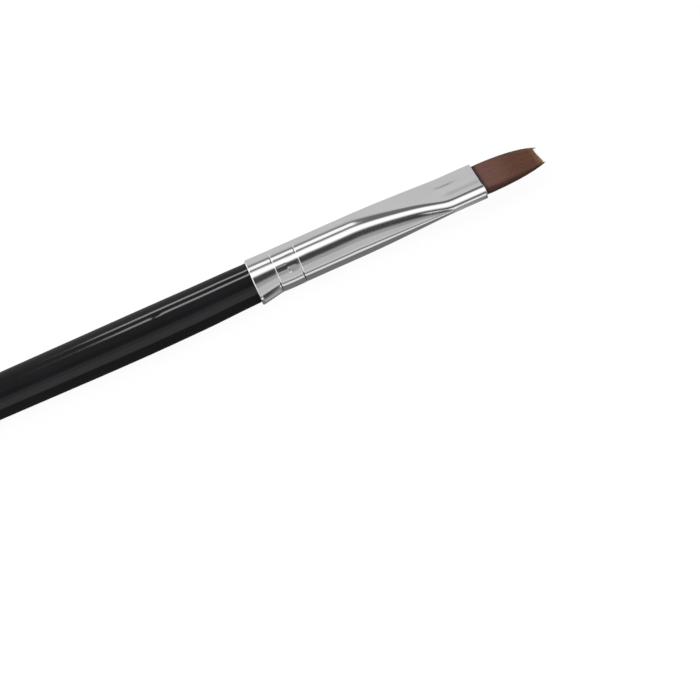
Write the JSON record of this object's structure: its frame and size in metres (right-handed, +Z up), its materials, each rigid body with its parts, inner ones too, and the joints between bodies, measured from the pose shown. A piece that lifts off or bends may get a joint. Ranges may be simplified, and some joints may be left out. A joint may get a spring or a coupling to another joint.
{
  "type": "acrylic nail brush",
  "caption": "Flat nail brush with a black lacquered handle, a crimped bright ferrule pressed flat at its mouth, and a short tapered tuft of brown hair that bends.",
  "frame": {"origin": "bottom centre of the bounding box, with the brush lying down and its flats level", "axes": "+X along the brush towards the tips of the hair, +Y across the flat, +Z up, square to the flats"},
  "size_m": [0.175, 0.0076, 0.0066],
  "materials": {
    "black_lacquer": "gloss",
    "bright_metal": "polished",
    "glue": "satin",
    "resin": "gloss",
    "thread": "matte",
    "hair": "satin"
  },
  "bodies": {
    "brush": {"handle": "black_lacquer", "ferrule": "bright_metal", "handle_adhesive": "glue", "bristle_adhesive_plug": "resin", "binding_thread": "thread", "bristle_root": "hair"},
    "lock_1": {"bristle_lock_1": "hair"},
    "lock_2": {"bristle_lock_2": "hair"},
    "lock_3": {"bristle_lock_3": "hair"},
    "lock_4": {"bristle_lock_4": "hair"},
    "lock_5": {"bristle_lock_5": "hair"}
  },
  "joints": [
    {"name": "lock_1_flex", "type": "hinge", "parent": "brush", "child": "lock_1", "pos_m": [0.0815, 0, 0.00329], "axis": [0, 1, 0], "range_deg": [-60, 60], "stiffness_Nm_per_rad": 0.0003},
    {"name": "lock_2_flex", "type": "hinge", "parent": "brush", "child": "lock_2", "pos_m": [0.0815, 0, 0.00329], "axis": [0, 1, 0], "range_deg": [-60, 60], "stiffness_Nm_per_rad": 0.0003},
    {"name": "lock_3_flex", "type": "hinge", "parent": "brush", "child": "lock_3", "pos_m": [0.0815, 0, 0.00329], "axis": [0, 1, 0], "range_deg": [-60, 60], "stiffness_Nm_per_rad": 0.0003},
    {"name": "lock_4_flex", "type": "hinge", "parent": "brush", "child": "lock_4", "pos_m": [0.0815, 0, 0.00329], "axis": [0, 1, 0], "range_deg": [-60, 60], "stiffness_Nm_per_rad": 0.0003},
    {"name": "lock_5_flex", "type": "hinge", "parent": "brush", "child": "lock_5", "pos_m": [0.0815, 0, 0.00329], "axis": [0, 1, 0], "range_deg": [-60, 60], "stiffness_Nm_per_rad": 0.0003}
  ]
}
